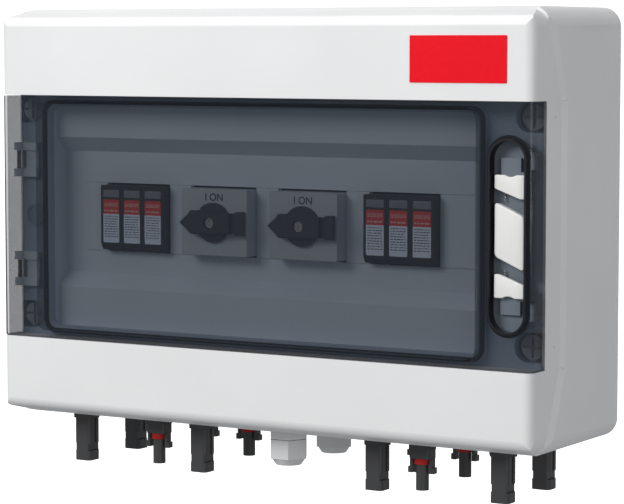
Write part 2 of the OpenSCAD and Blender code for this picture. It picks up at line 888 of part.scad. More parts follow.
module spd_base(slot) {
  x0 = slot_left(slot) + 0.2;
  color([0.10, 0.10, 0.11])
    difference() {
      rail_body(x0, x0 + device_w, spd_half_h, spd_body_y, plug_rear_y + 0.3);
      terminal_holes(x0 + device_w / 2, spd_half_h, spd_body_y);
      for (i = [0, 1, 2], s = [-1, 1])
        block(x0 + (i + 0.5) * module_w - 4.2, x0 + (i + 0.5) * module_w + 3.8,
              plug_rear_y, plug_rear_y + 11, row_z + s * 12 - 1, row_z + s * 12 + 1);
    }
}

module spd_bases() {
  for (slot = spd_slots)
    spd_base(slot);
}

module spd_plug(slot, i) {
  x0 = slot_left(slot) + 0.2 + i * (device_w + 0.1) / 3;
  xm = x0 + plug_w / 2;
  y0 = mask_y - spd_front;
  top = row_z + device_h / 2;
  color([0.07, 0.07, 0.08])
    difference() {
      union() {
        along_x(x0, x0 + plug_w)
          polygon([[y0, top - 0.6], [y0 + 0.6, top], [plug_rear_y, top],
                   [plug_rear_y, top - device_h], [y0 + 2.5, top - device_h],
                   [y0, top - device_h + 4]]);
        for (s = [-1, 1])
          block(xm - 3.6, xm + 3.4, plug_rear_y - 0.1, plug_rear_y + 10,
                row_z + s * 12 - 0.7, row_z + s * 12 + 0.7);
      }
      // seat of the label and the status window
      block(xm - 7, xm + 7, y0 - 1, y0 + 0.6, row_z - 17.6, row_z + 19.8);
    }
}

module spd_plug_1() {
  spd_plug(spd_slots[0], 0);
}

module spd_plug_2() {
  spd_plug(spd_slots[0], 1);
}

module spd_plug_3() {
  spd_plug(spd_slots[0], 2);
}

module spd_plug_4() {
  spd_plug(spd_slots[1], 0);
}

module spd_plug_5() {
  spd_plug(spd_slots[1], 1);
}

module spd_plug_6() {
  spd_plug(spd_slots[1], 2);
}

function switch_mid(slot) = slot_left(slot) + 0.2 + device_w / 2;

module switch_body(slot) {
  x0 = slot_left(slot) + 0.2;
  xm = switch_mid(slot);
  color([0.20, 0.21, 0.22])
    difference() {
      rail_body(x0, x0 + device_w, switch_half_h, switch_body_y, plate_rear_y);
      terminal_holes(xm, switch_half_h, switch_body_y);
      bar_y(xm, row_z, plate_rear_y + 14, plate_rear_y - 1, shaft_r + 0.15);
    }
}

module switch_bodies() {
  for (slot = switch_slots)
    switch_body(slot);
}

module switch_plate(slot) {
  xm = switch_mid(slot);
  color([0.45, 0.47, 0.49])
    difference() {
      forward(plate_rear_y, switch_face_y)
        translate([xm, row_z])
          centred_rect(device_w, device_h, 1.2);
      bar_y(xm, row_z, 0, -box_d, shaft_r + 0.15);
    }
}

module switch_plates() {
  for (slot = switch_slots)
    switch_plate(slot);
}

// rotary handle pointing to the left, which is the off position
module handle(slot) {
  xm = switch_mid(slot);
  y0 = switch_face_y - 0.3;
  y1 = switch_face_y - handle_h;
  tip = handle_len * 0.475;
  tail = handle_len - tip;
  color([0.09, 0.09, 0.10])
    translate([xm, 0, row_z])
      difference() {
        union() {
          bar_y(0, 0, y0, y0 - 2, disc_r);
          forward(y0 - 2 + 0.1, y1)
            polygon([[-tip, 0], [-tip + 8, 6.8], [16.5, 6.8], [16.5, -6.8], [-tip + 8, -6.8]]);
          forward(y0 - 1.1, y1 + 2.6)
            polygon([[-tip + 1, 0], [-tip + 7, 8], [-tip + 12, 8], [-tip + 15, 5],
                     [-tip + 15, -5], [-tip + 12, -8], [-tip + 7, -8]]);
          forward(y0 - 1.1, y1 + 2.6)
            polygon([[16, 5.5], [tail - 5, 8], [tail, 8], [tail, -8], [tail - 5, -8], [16, -5.5]]);
          bar_y(0, 0, plate_rear_y + 10, y0 - 1, shaft_r);
        }
        bar_y(0, 0, y1 + 5, y1 - 1, 3.9);
        bar_y(0, 0, y1 + 14, y1, 1.7);
      }
}

module handle_left() {
  handle(switch_slots[0]);
}

module handle_right() {
  handle(switch_slots[1]);
}

module handle_screw(slot) {
  y1 = switch_face_y - handle_h;
  color([0.80, 0.81, 0.82])
    translate([switch_mid(slot), 0, row_z])
      difference() {
        union() {
          bar_y(0, 0, y1 + 5, y1 + 1.4, 3.4);
          bar_y(0, 0, y1 + 13, y1 + 4.9, 1.7);
        }
        for (a = [0, 90])
          rotate([0, a, 0])
            block(-2.2, 2.2, y1, y1 + 2.8, -0.4, 0.4);
      }
}

module handle_screw_left() {
  handle_screw(switch_slots[0]);
}

module handle_screw_right() {
  handle_screw(switch_slots[1]);
}

// ---------------------------------------------------------------- earth bar

module earth_bar_holder() {
  color([0.25, 0.45, 0.22])
    for (x = bar_screw_xs)
      difference() {
        block(x - 6, x + 6, -28, -22, bar_z - 8, bar_z + 8);
        bar_y(x, bar_z, 0, -box_d, 2.05);
      }
}

module earth_bar() {
  color([0.80, 0.65, 0.30])
    difference() {
      block(-54, 54, -37, -28, bar_z - 4.5, bar_z + 4.5);
      for (x = bar_screw_xs)
        bar_y(x, bar_z, 0, -box_d, 2.05);
      for (i = [-2 : 2]) {
        bar_y(i * 15, bar_z, -29, -38, 1.95);
        bar_z(i * 15, bar_wire_y, bar_z - 6, bar_z - 1, 2.4);
      }
    }
}

module earth_bar_screws() {
  color([0.78, 0.78, 0.80]) {
    for (x = bar_screw_xs)
      difference() {
        union() {
          bar_y(x, bar_z, -9, -37.1, 1.9);
          bar_y(x, bar_z, -37, -39.5, 3.6);
        }
        block(x - 4, x + 4, -40, -38.4, bar_z - 0.5, bar_z + 0.5);
      }
    for (i = [-2 : 2])
      difference() {
        union() {
          bar_y(i * 15, bar_z, -34.5, -37.1, 1.85);
          bar_y(i * 15, bar_z, -37, -39.5, 3.3);
        }
        block(i * 15 - 4, i * 15 + 4, -40, -38.4, bar_z - 0.5, bar_z + 0.5);
      }
  }
}

// ---------------------------------------------------------------- connectors

// threaded neck with its outer flange, hanging from the box floor
module connector_neck(p) {
  hex_z(p[0], p[1], floor_z - flange_t, floor_z, 2 * flange_r);
  bar_z(p[0], p[1], floor_z - 1, inner_floor_z + 12, thread_r);
}

module socket_bodies() {
  low = plug_end_z;
  color([0.07, 0.07, 0.08])
    for (p = sockets)
      difference() {
        union() {
          connector_neck(p);
          translate([p[0], p[1], low])
            linear_extrude(plug_drop - flange_t + 0.5)
              centred_rect(socket_w, socket_d, 3);
        }
        for (s = [-1, 1]) {
          // waist that the claws of the mate snap into
          translate([p[0] + s * (socket_w / 2 + 0.9), p[1], low + 9.5])
            cube([5, socket_d + 2, 5.4], center = true);
          // guide grooves
          translate([p[0] + s * (socket_w / 2), p[1], low + 21])
            cube([1.6, 3.2, 20], center = true);
        }
        translate([p[0], p[1], low - 1])
          cylinder(r = socket_bore_r, h = socket_bore_l + 1);
        translate([p[0], p[1], low])
          cylinder(r = 3.2, h = plug_drop + wall_t + 20);
      }
}

module socket_contacts() {
  color([0.78, 0.78, 0.80])
    for (p = sockets)
      difference() {
        bar_z(p[0], p[1], plug_end_z + socket_bore_l + 0.5, inner_floor_z + 10, 3.15);
        bar_z(p[0], p[1], plug_end_z, floor_z - 2, 2);
      }
}

module hex_nut(p, af, r, z0, t) {
  difference() {
    hex_z(p[0], p[1], z0, z0 + t, af);
    bar_z(p[0], p[1], z0 - 1, z0 + t + 1, r);
  }
}

module connector_nuts() {
  color([0.10, 0.10, 0.11])
    for (p = concat(sockets, pins))
      hex_nut(p, 17, thread_r + 0.02, inner_floor_z, 4);
}

module pin_bodies() {
  low = plug_end_z + 2.7;
  color([0.07, 0.07, 0.08])
    for (p = pins)
      difference() {
        union() {
          connector_neck(p);
          translate([p[0], p[1], ring_top_z])
            linear_extrude(floor_z - flange_t + 0.5 - ring_top_z)
              centred_rect(socket_w + 2, socket_d - 1, 3);
          bar_z(p[0], p[1], low, floor_z, barrel_r);
          for (s = [-1, 1]) {
            translate([p[0] + s * 7.2, p[1], (ring_top_z + floor_z - 20) / 2])
              cube([2, 5, ring_top_z - floor_z + 20.1], center = true);
            translate([p[0] + s * 8, p[1], floor_z - 18])
              cube([3, 5, 4], center = true);
          }
        }
        bar_z(p[0], p[1], low - 1, inner_floor_z + 20, 3);
        // groove of the sealing ring
        difference() {
          bar_z(p[0], p[1], ring_bot_z, ring_top_z, barrel_r + 1);
          bar_z(p[0], p[1], ring_bot_z - 1, ring_top_z + 1, barrel_r - 0.6);
        }
      }
}

module pin_rings() {
  color([0.75, 0.06, 0.05])
    for (p = pins)
      difference() {
        bar_z(p[0], p[1], ring_bot_z, ring_top_z, 5.4);
        bar_z(p[0], p[1], ring_bot_z - 1, ring_top_z + 1, barrel_r - 0.6);
      }
}

module pin_contacts() {
  color([0.78, 0.78, 0.80])
    for (p = pins) {
      bar_z(p[0], p[1], plug_end_z + 8, floor_z - 12, 1.6);
      bar_z(p[0], p[1], floor_z - 12, inner_floor_z + 10, 2.95);
    }
}

// ---------------------------------------------------------------- cable glands

module gland_bodies() {
  color([0.62, 0.63, 0.64])
    for (p = glands)
      difference() {
        union() {
          hex_z(p[0], p[1], floor_z - 5, floor_z, gland_af);
          bar_z(p[0], p[1], gland_end_z, inner_floor_z + 8, gland_thread_r);
        }
        bar_z(p[0], p[1], gland_end_z - 1, inner_floor_z + 9, gland_bore_r);
      }
}

module gland_nuts() {
  color([0.62, 0.63, 0.64])
    for (p = glands)
      hex_nut(p, gland_af, gland_thread_r + 0.02, inner_floor_z, 5);
}

module gland_cap(p) {
  z1 = floor_z - 5.4;
  z0 = z1 - 13;
  color([0.62, 0.63, 0.64])
    difference() {
      union() {
        hex_z(p[0], p[1], z0, z1, gland_af);
        translate([p[0], p[1], z0 - 4.6])
          cylinder(r1 = gland_af * 0.36, r2 = gland_af * 0.49, h = 4.6);
      }
      bar_z(p[0], p[1], z0 + 2, z1 + 1, gland_thread_r + 0.05);
      bar_z(p[0], p[1], z0 - 5, z1, 6.4);
    }
}

module gland_cap_front() {
  gland_cap(glands[0]);
}

module gland_cap_rear() {
  gland_cap(glands[1]);
}

module gland_seals() {
  color([0.15, 0.15, 0.16])
    for (p = glands)
      difference() {
        union() {
          bar_z(p[0], p[1], seal_end_z, gland_end_z + 0.1, 6.2);
          bar_z(p[0], p[1], gland_end_z, floor_z - 6, gland_bore_r);
        }
        bar_z(p[0], p[1], seal_end_z - 1, floor_z - 5, 4);
      }
}

// ---------------------------------------------------------------- wiring

// wire from a connector at p, up to a height above the floor, across, then up to z1 above (x, y)
module riser(p, above_floor, x, y, z1) {
  bend_z = inner_floor_z + above_floor;
  run = norm([x - p[0], y - p[1]]);
  z0 = inner_floor_z + 12.1;
  translate([p[0], p[1], 0])
    rotate([0, 0, atan2(y - p[1], x - p[0])]) {
      bar_z(0, 0, z0, bend_z - bend_r, wire_r);
      elbow(bend_r, bend_z - bend_r, 90);
      translate([bend_r, 0, bend_z])
        rotate([0, 90, 0])
          cylinder(r = wire_r, h = run - 2 * bend_r);
      elbow(run - bend_r, bend_z + bend_r, 270);
      bar_z(run, 0, bend_z + bend_r, z1, wire_r);
    }
}

module elbow(x, z, from) {
  translate([x, 0, z])
    rotate([90, 0, 0])
      rotate([0, 0, from])
        rotate_extrude(angle = 90)
          translate([bend_r, 0])
            circle(wire_r);
}

module wires_red() {
  spd_z = row_z - spd_half_h - 0.5;
  switch_z = row_z - switch_half_h - 0.5;
  color([0.65, 0.08, 0.06]) {
    riser(sockets[0], 26, slot_left(1) + 9, spd_wire_y, spd_z);
    riser(sockets[2], 34, switch_mid(5) - module_w, switch_wire_y, switch_z);
    riser(sockets[3], 34, switch_mid(9) + module_w, switch_wire_y, switch_z);
    riser(sockets[4], 26, slot_left(15) + 9, spd_wire_y, spd_z);
  }
}

module wires_black() {
  spd_z = row_z - spd_half_h - 0.5;
  switch_z = row_z - switch_half_h - 0.5;
  color([0.05, 0.05, 0.06]) {
    riser(pins[0], 46, slot_left(2) + 9, spd_wire_y, spd_z);
    riser(pins[2], 50, switch_mid(5), switch_wire_y, switch_z);
    riser(pins[4], 46, slot_left(14) + 9, spd_wire_y, spd_z);
  }
}

// wire from an arrester terminal up and across to the earth bar
module earth_wire(x0, x1) {
  z0 = row_z + spd_half_h + 0.5;
  bend_z = bar_z - 30;
  run = norm([x1 - x0, bar_wire_y - spd_wire_y]);
  translate([x0, spd_wire_y, 0])
    rotate([0, 0, atan2(bar_wire_y - spd_wire_y, x1 - x0)]) {
      bar_z(0, 0, z0, bend_z - bend_r, wire_r);
      elbow(bend_r, bend_z - bend_r, 90);
      translate([bend_r, 0, bend_z])
        rotate([0, 90, 0])
          cylinder(r = wire_r, h = run - 2 * bend_r);
      elbow(run - bend_r, bend_z + bend_r, 270);
      bar_z(run, 0, bend_z + bend_r, bar_z - 5, wire_r);
    }
}

module wires_earth() {
  color([0.35, 0.60, 0.12]) {
    earth_wire(slot_left(2) + 9, -30);
    earth_wire(slot_left(14) + 9, 30);
  }
}

// ---------------------------------------------------------------- assembly

base_tub();
screw_pillars();
screw_catches();
seam_gasket();
cover();
red_label();
mask_plate();
mask_frame();
blanking_strips();
cover_screw_1();
cover_screw_2();
cover_screw_3();
cover_screw_4();
hinge_side_cap();
hinge_ears();
hinge_pins();
latch_keepers();
door();
door_seal();
latch_collar();
latch_carrier();
latch_grip();
latch_tab_upper();
latch_tab_lower();
latch_slide_upper();
latch_slide_lower();
latch_spring_upper();
latch_spring_lower();
din_rail();
rail_screws();
spd_bases();
spd_plug_1();
spd_plug_2();
spd_plug_3();
spd_plug_4();
spd_plug_5();
spd_plug_6();
switch_bodies();
switch_plates();
handle_left();
handle_right();
handle_screw_left();
handle_screw_right();
earth_bar_holder();
earth_bar();
earth_bar_screws();
socket_bodies();
socket_contacts();
connector_nuts();
pin_bodies();
pin_rings();
pin_contacts();
gland_bodies();
gland_nuts();
gland_cap_front();
gland_cap_rear();
gland_seals();
wires_red();
wires_black();
wires_earth();
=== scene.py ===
# DC combiner box: finishes, small parts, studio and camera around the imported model.
import math
import random

import bpy
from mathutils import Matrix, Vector


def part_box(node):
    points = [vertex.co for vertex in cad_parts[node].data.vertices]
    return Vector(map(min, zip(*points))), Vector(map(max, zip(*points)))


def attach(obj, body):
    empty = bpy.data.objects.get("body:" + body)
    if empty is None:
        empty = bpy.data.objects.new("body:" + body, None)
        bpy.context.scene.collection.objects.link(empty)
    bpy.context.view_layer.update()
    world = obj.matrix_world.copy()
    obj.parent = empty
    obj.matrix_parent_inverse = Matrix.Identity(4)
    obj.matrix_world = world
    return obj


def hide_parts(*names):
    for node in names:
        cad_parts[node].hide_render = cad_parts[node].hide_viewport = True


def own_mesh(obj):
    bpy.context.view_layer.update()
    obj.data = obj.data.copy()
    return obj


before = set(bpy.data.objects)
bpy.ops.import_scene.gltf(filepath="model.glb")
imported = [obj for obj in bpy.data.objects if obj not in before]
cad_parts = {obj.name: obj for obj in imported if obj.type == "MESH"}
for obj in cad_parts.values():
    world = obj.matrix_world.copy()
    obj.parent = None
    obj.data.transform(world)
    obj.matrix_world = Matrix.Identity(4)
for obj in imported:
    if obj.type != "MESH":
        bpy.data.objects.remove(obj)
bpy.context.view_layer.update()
MM = 0.001

scene = bpy.context.scene
scene.view_settings.view_transform = "Standard"

# ------------------------------------------------------------------ finishes


def new_finish(name):
    """A fresh node finish, with its nodes, its links and its shader."""
    finish = bpy.data.materials.new(name)
    finish.use_nodes = True
    nodes = finish.node_tree.nodes
    return finish, nodes, finish.node_tree.links, nodes["Principled BSDF"]


def noise(nodes, links, scale, detail, stretch=None):
    """Noise on the object's own coordinates; a stretch draws it out along an axis."""
    place = nodes.new("ShaderNodeTexCoord")
    texture = nodes.new("ShaderNodeTexNoise")
    texture.inputs["Scale"].default_value = scale
    texture.inputs["Detail"].default_value = detail
    if stretch is None:
        links.new(place.outputs["Object"], texture.inputs["Vector"])
    else:
        mapping = nodes.new("ShaderNodeMapping")
        mapping.inputs["Scale"].default_value = stretch
        links.new(place.outputs["Object"], mapping.inputs["Vector"])
        links.new(mapping.outputs["Vector"], texture.inputs["Vector"])
    return texture.outputs["Fac"]


def spread(nodes, links, value, low, high):
    """Maps noise around its middle to a range."""
    ramp = nodes.new("ShaderNodeMapRange")
    ramp.inputs["From Min"].default_value = 0.3
    ramp.inputs["From Max"].default_value = 0.7
    ramp.inputs["To Min"].default_value = low
    ramp.inputs["To Max"].default_value = high
    links.new(value, ramp.inputs["Value"])
    return ramp.outputs["Result"]


def tint(nodes, links, value, dark, light):
    """Colour between two shades, chosen by noise."""
    ramp = nodes.new("ShaderNodeMix")
    ramp.data_type = "RGBA"
    ramp.inputs["A"].default_value = (*dark, 1)
    ramp.inputs["B"].default_value = (*light, 1)
    links.new(spread(nodes, links, value, 0.0, 1.0), ramp.inputs["Factor"])
    return ramp.outputs["Result"]


def relief(nodes, links, shader, value, depth_mm, strength):
    """Surface relief of a given depth in millimetres."""
    bump = nodes.new("ShaderNodeBump")
    bump.inputs["Strength"].default_value = strength
    bump.inputs["Distance"].default_value = depth_mm * MM
    links.new(value, bump.inputs["Height"])
    links.new(bump.outputs["Normal"], shader.inputs["Normal"])


def shades(colour, amount):
    """A darker and a lighter shade round a colour."""
    dark = tuple(c * (1 - amount) for c in colour)
    light = tuple(min(c * (1 + amount), 1) for c in colour)
    return dark, light


def moulded(name, colour, rough, grain=900, depth_mm=0.012, gloss=0.4):
    """Injection moulded plastic: fine grain, slightly uneven gloss and tone."""
    finish, nodes, links, shader = new_finish(name)
    cloud = noise(nodes, links, scale=14, detail=4)
    dark, light = shades(colour, 0.02)
    links.new(tint(nodes, links, cloud, dark, light), shader.inputs["Base Color"])
    grain_value = noise(nodes, links, grain, detail=2)
    links.new(spread(nodes, links, grain_value, rough - 0.05, rough + 0.05),
              shader.inputs["Roughness"])
    relief(nodes, links, shader, grain_value, depth_mm, strength=0.6)
    shader.inputs["Specular IOR Level"].default_value = gloss
    return finish


def rubber(name, colour):
    """Matt rubber with a dusty bloom."""
    finish, nodes, links, shader = new_finish(name)
    bloom = noise(nodes, links, scale=160, detail=5)
    dark, light = shades(colour, 0.25)
    links.new(tint(nodes, links, bloom, dark, light), shader.inputs["Base Color"])
    links.new(spread(nodes, links, bloom, 0.62, 0.8), shader.inputs["Roughness"])
    pores = noise(nodes, links, scale=1400, detail=2)
    relief(nodes, links, shader, pores, depth_mm=0.02, strength=0.5)
    shader.inputs["Specular IOR Level"].default_value = 0.3
    return finish


def metal(name, colour, rough, stretch):
    """Plated or brushed metal with drawn lines along one direction."""
    finish, nodes, links, shader = new_finish(name)
    lines = noise(nodes, links, scale=60, detail=6, stretch=stretch)
    dark, light = shades(colour, 0.08)
    links.new(tint(nodes, links, lines, dark, light), shader.inputs["Base Color"])
    links.new(spread(nodes, links, lines, rough - 0.06, rough + 0.08),
              shader.inputs["Roughness"])
    relief(nodes, links, shader, lines, depth_mm=0.01, strength=0.5)
    shader.inputs["Metallic"].default_value = 1.0
    return finish


def smoked(name, colour, density):
    """Clear plastic with a smoke tint; the density is the share of light it stops."""
    finish, nodes, links, shader = new_finish(name)
    haze = noise(nodes, links, scale=9, detail=3)
    dark, light = shades(colour, 0.08)
    links.new(tint(nodes, links, haze, dark, light), shader.inputs["Base Color"])
    wipe_marks = noise(nodes, links, scale=40, detail=3)
    links.new(spread(nodes, links, wipe_marks, 0.04, 0.07), shader.inputs["Roughness"])
    shader.inputs["Alpha"].default_value = density
    shader.inputs["Specular IOR Level"].default_value = 0.5
    return finish


def finish_nodes(finish, *names):
    """Gives one finish to CAD parts."""
    for name in names:
        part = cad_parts[name]
        part.data.materials.clear()
        part.data.materials.append(finish)
        for face in part.data.polygons:
            face.material_index = 0


def finish_faces(finish, part, wanted):
    """Gives a further finish to the faces of a CAD part whose middle and normal are wanted."""
    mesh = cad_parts[part].data
    mesh.materials.append(finish)
    for face in mesh.polygons:
        if wanted(face.center, face.normal):
            face.material_index = len(mesh.materials) - 1


def between(low, high):
    """A test for faces whose middle lies between two corners."""
    return lambda middle, normal: all(low[i] < middle[i] < high[i] for i in range(3))


def numbered(name, count):
    """The names of numbered parts, from 1."""
    return [f"{name}_{i}" for i in range(1, count + 1)]


def sided(*names):
    """The names of parts that come as a left and a right one."""
    return [f"{name}_{side}" for name in names for side in ("left", "right")]


ENCLOSURE_GREY = (0.80, 0.80, 0.80)
STEEL = (0.62, 0.62, 0.63)

finish_nodes(moulded("base_light_grey", ENCLOSURE_GREY, 0.5), "base_tub",
             "screw_pillars", "screw_catches")
finish_nodes(moulded("cover_light_grey", ENCLOSURE_GREY, 0.42, grain=700, depth_mm=0.008), "cover")

# The door zone of the cover, inside its outer skin and behind the front of its bands. It is
# the same plastic as the bands: its darker blue-grey, like the mask's, is painted shade and a
# painted tint of the light through the closed smoked door, and it looks too blue when the door is
# open.
ZONE_SKIN = 1.6 * MM
ZONE_BEHIND_FRONT = 12 * MM
ZONE_DOOR_GAP = 0.4 * MM
door_low, door_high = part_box("door")
cover_low, cover_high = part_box("cover")
finish_faces(moulded("door_zone_painted_shade_tint", (0.33, 0.40, 0.51), 0.5), "cover",
             between((cover_low[0] + ZONE_SKIN, cover_low[1] + ZONE_BEHIND_FRONT,
                      door_low[2] - ZONE_DOOR_GAP),
                     (cover_high[0] - ZONE_SKIN, cover_high[1], door_high[2] + ZONE_DOOR_GAP)))

finish_nodes(rubber("black_foam_gasket", (0.008, 0.008, 0.009)), "seam_gasket", "door_seal")
finish_nodes(moulded("red_film", (0.84, 0.004, 0.014), 0.35, grain=300, depth_mm=0.004, gloss=0.15),
             "red_label")
# The mask's blue-grey is painted shade and a painted tint of the light through the closed smoked
# door.
finish_nodes(moulded("mask_plate_painted_shade_tint", (0.59, 0.66, 0.76), 0.5, depth_mm=0.004), "mask_plate",
             "mask_frame", "blanking_strips")
finish_nodes(moulded("cap_grey", (0.22, 0.27, 0.35), 0.45), "hinge_side_cap", "latch_keepers")
finish_nodes(moulded("screw_grey", (0.30, 0.33, 0.37), 0.45), *numbered("cover_screw", 4))
finish_nodes(moulded("hinge_grey", (0.52, 0.58, 0.66), 0.45), "hinge_ears")
finish_nodes(metal("pin_steel", STEEL, 0.3, (1, 1, 0.1)), "hinge_pins")
finish_nodes(smoked("smoked_door", (0.016, 0.022, 0.032), 0.36), "door")

DOOR_EDGE = 1 * MM
CORNER_DEPTH = 4.6 * MM
CORNER_WIDTH = 3 * MM


def on_door_edge(middle, normal):
    """The top and bottom edges of the door, and its rounded front corner at the hinges, which get
    painted shade.
    """
    at_end = not door_low[2] + DOOR_EDGE < middle[2] < door_high[2] - DOOR_EDGE
    at_corner = (middle[1] < door_low[1] + CORNER_DEPTH
                 and middle[0] < door_low[0] + CORNER_WIDTH)
    return (abs(normal[2]) > 0.9 and at_end) or (normal[0] < -0.3 and at_corner)


# Near-opaque dark finish on these faces: painted shade for the dark gaps along the door's edges.
finish_faces(smoked("door_edge_painted_shade", (0.006, 0.007, 0.009), 0.92), "door", on_door_edge)
finish_nodes(moulded("latch_black", (0.006, 0.006, 0.008), 0.35), "latch_collar")
latch_white = moulded("latch_white", (0.82, 0.82, 0.80), 0.4)
finish_nodes(latch_white, "latch_grip", "latch_tab_upper", "latch_tab_lower")
finish_nodes(moulded("latch_grey", (0.14, 0.165, 0.20), 0.45), "latch_carrier", "latch_slide_upper",
             "latch_slide_lower")
spring_wire = metal("spring_wire", STEEL, 0.25, (1, 1, 1))
finish_nodes(spring_wire, "latch_spring_upper", "latch_spring_lower")
finish_nodes(metal("rail_zinc", (0.62, 0.64, 0.66), 0.35, (0.05, 1, 1)), "din_rail")
finish_nodes(metal("screw_zinc", (0.70, 0.70, 0.70), 0.3, (1, 1, 1)), "rail_screws",
             "earth_bar_screws", *sided("handle_screw"))
finish_nodes(moulded("device_black", (0.012, 0.012, 0.014), 0.42), "spd_bases",
             *numbered("spd_plug", 6))
# The handles' blue cast is a painted tint of the light through the closed smoked door.
finish_nodes(moulded("handle_black_painted_tint", (0.026, 0.033, 0.043), 0.42), *sided("handle"))
finish_nodes(moulded("switch_dark", (0.06, 0.06, 0.065), 0.5), "switch_bodies")
# The switch plates' blue-grey is painted shade and a painted tint of the light through the closed
# smoked door.
finish_nodes(moulded("switch_grey", (0.43, 0.47, 0.54), 0.5), "switch_plates")
finish_nodes(moulded("holder_green", (0.05, 0.16, 0.04), 0.45), "earth_bar_holder")
finish_nodes(metal("bar_brass", (0.75, 0.55, 0.22), 0.3, (0.05, 1, 1)), "earth_bar")
finish_nodes(moulded("connector_black", (0.05, 0.05, 0.052), 0.4), "socket_bodies", "pin_bodies",
             "connector_nuts")
finish_nodes(metal("contact_tin", (0.70, 0.70, 0.72), 0.25, (1, 1, 0.1)), "socket_contacts",
             "pin_contacts")
finish_nodes(rubber("red_seal", (0.42, 0.012, 0.012)), "pin_rings")
finish_nodes(moulded("gland_grey", (0.68, 0.68, 0.69), 0.45), "gland_bodies", "gland_nuts",
             "gland_cap_front", "gland_cap_rear")
finish_nodes(rubber("gland_seal_black", (0.015, 0.015, 0.015)), "gland_seals")
finish_nodes(moulded("wire_red", (0.35, 0.012, 0.01), 0.4), "wires_red")
finish_nodes(moulded("wire_black", (0.012, 0.012, 0.012), 0.4), "wires_black")
finish_nodes(moulded("wire_green", (0.06, 0.22, 0.02), 0.4), "wires_earth")

# ------------------------------------------------------------------ shaping by hand


def bare_select():
    """Nothing selected, object mode."""
    if bpy.context.object and bpy.context.object.mode != "OBJECT":
        bpy.ops.object.mode_set(mode="OBJECT")
    bpy.ops.object.select_all(action="DESELECT")


def settle(name):
    """Names the fresh object and puts its place into its mesh."""
    made = bpy.context.object
    made.name = name
    made.data.name = name
    bpy.ops.object.transform_apply(location=True, rotation=True, scale=True)
    return made


def slab(name, low, high):
    """Box between two corners, as the start of a piece."""
    bare_select()
    middle = [(a + b) / 2 for a, b in zip(low, high)]
    bpy.ops.mesh.primitive_cube_add(size=1, location=middle)
    bpy.context.object.scale = [b - a for a, b in zip(low, high)]
    return settle(name)


def hold(piece):
    """Makes a piece the only one selected and the active one."""
    bare_select()
    piece.select_set(True)
    bpy.context.view_layer.objects.active = piece


def pick(piece, kind, wanted):
    """Opens a piece in edit mode with only the wanted points, edges or faces selected."""
    hold(piece)
    mesh = piece.data
    for group in (mesh.vertices, mesh.edges, mesh.polygons):
        for part in group:
            part.select = False
    if kind == "VERT":
        for point in mesh.vertices:
            point.select = wanted(point.co)
    elif kind == "EDGE":
        for edge in mesh.edges:
            a, b = (mesh.vertices[i].co for i in edge.vertices)
            edge.select = wanted(a, b)
    else:
        for face in mesh.polygons:
            face.select = wanted(face.center, face.normal)
    bpy.ops.object.mode_set(mode="EDIT")
    bpy.ops.mesh.select_mode(type=kind)


def done():
    """Back to object mode."""
    bpy.ops.object.mode_set(mode="OBJECT")


def soften(piece, width, segments, angle=30):
    """Rounds every edge sharper than an angle and shades the result smooth."""
    hold(piece)
    edge = piece.modifiers.new("soft_edges", "BEVEL")
    edge.width = width
    edge.segments = segments
    edge.limit_method = "ANGLE"
    edge.angle_limit = math.radians(angle)
    bpy.ops.object.modifier_apply(modifier=edge.name)
    bpy.ops.object.shade_smooth_by_angle(angle=math.radians(40))


def front_to_back(a, b):
    """True if the edge from a to b runs straight back."""
    return abs(a.x - b.x) < 1e-6 and abs(a.z - b.z) < 1e-6


def round_corners(piece, width, segments=4):
    """Rounds the corners of a piece's outline, seen from the front."""
    pick(piece, "EDGE", front_to_back)
    bpy.ops.mesh.bevel(offset=width, segments=segments, affect="EDGES", clamp_overlap=True)
    done()


def coat(piece, *finishes):
    """Gives a new piece its finishes, the first one all over."""
    piece.data.materials.clear()
    for finish in finishes:
        piece.data.materials.append(finish)


def recolour(piece, index, wanted):
    """Gives a finish to the faces whose middle is wanted."""
    for face in piece.data.polygons:
        if wanted(face.center):
            face.material_index = index


def fuse(name, parts):
    """Joins finished parts into one piece."""
    bare_select()
    for part in parts:
        part.select_set(True)
    bpy.context.view_layer.objects.active = parts[0]
    bpy.ops.object.join()
    parts[0].name = name
    parts[0].data.name = name
    return parts[0]


def twin(piece, name, shift):
    """Copy with its own mesh, moved to its place."""
    copy = piece.copy()
    copy.data = piece.data.copy()
    copy.name = name
    copy.data.name = name
    scene.collection.objects.link(copy)
    hold(copy)
    copy.location = shift
    bpy.ops.object.transform_apply(location=True, rotation=False, scale=False)
    return copy


# ------------------------------------------------------------------ arrester labels


label_red = moulded("label_print_red", (0.62, 0.03, 0.02), 0.4, 400, 0.003)
# The pale label's blue is a painted tint of the light through the closed smoked door.
label_pale = moulded("label_print_pale_painted_tint", (0.68, 0.78, 0.95), 0.45, 400, 0.003)
label_ink = moulded("label_print_ink", (0.10, 0.11, 0.13), 0.5, 400, 0.002)
label_white = moulded("label_print_white", (0.62, 0.42, 0.40), 0.5, 400, 0.002)
window_grey = moulded("status_window_grey", (0.20, 0.22, 0.25), 0.25, 300, 0.002)


# Heights on a plug, from the middle of its row.
LABEL_BOTTOM = -17.3 * MM
LABEL_TOP = 12.6 * MM
LABEL_RED_FROM = 2.6 * MM
WINDOW_BOTTOM = 14.2 * MM
WINDOW_TOP = 19.3 * MM
LABEL_HALF_WIDTH = 6.7 * MM
PRINT_HALF_WIDTH = 5.6 * MM
SHORTEST_BAR = 0.6 * MM


